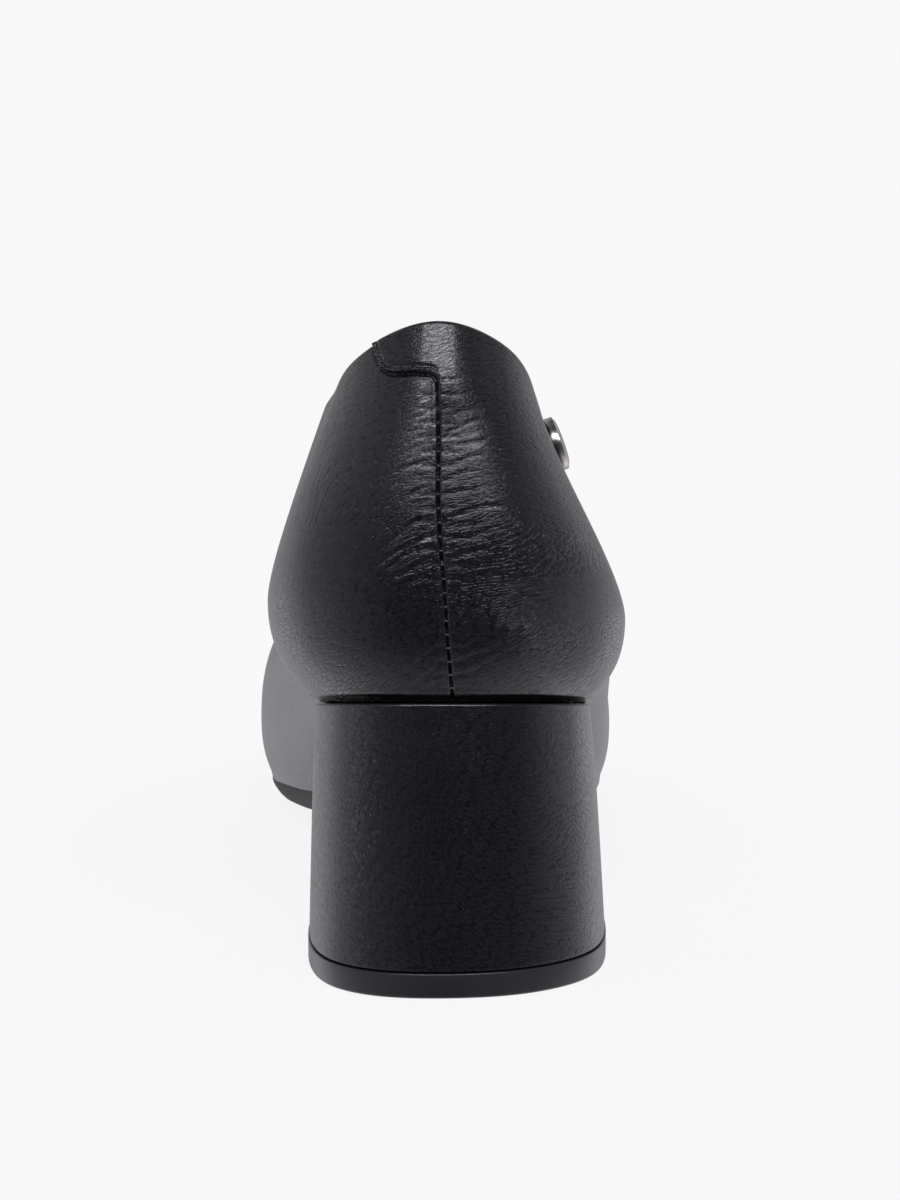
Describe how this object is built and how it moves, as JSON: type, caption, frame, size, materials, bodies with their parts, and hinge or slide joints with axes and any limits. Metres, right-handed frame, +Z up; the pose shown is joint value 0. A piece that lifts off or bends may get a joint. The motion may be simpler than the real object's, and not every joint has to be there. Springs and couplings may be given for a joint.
{
  "type": "block heel pump",
  "caption": "Right women's pump with a hollow leather upper open at the collar, thin outsole and a leather covered block heel.",
  "frame": {"origin": "middle of the shoe's box, on the floor it stands on", "axes": "+Y from heel to toe, +X to the outer (lateral) side, +Z up"},
  "size_m": [0.0815, 0.2474, 0.1142],
  "materials": {
    "upper_leather": "satin black grained leather",
    "insole_leather": "matt beige lining leather",
    "outsole_rubber": "brown black sole with a smooth edge",
    "heel_leather": "satin black leather cover",
    "tip_rubber": "smooth satin black",
    "badge_metal": "polished dark nickel"
  },
  "bodies": {
    "root": {"upper": "upper_leather", "insole": "insole_leather", "outsole": "outsole_rubber", "heel": "heel_leather", "heel_tip": "tip_rubber", "badge": "badge_metal"}
  },
  "joints": []
}
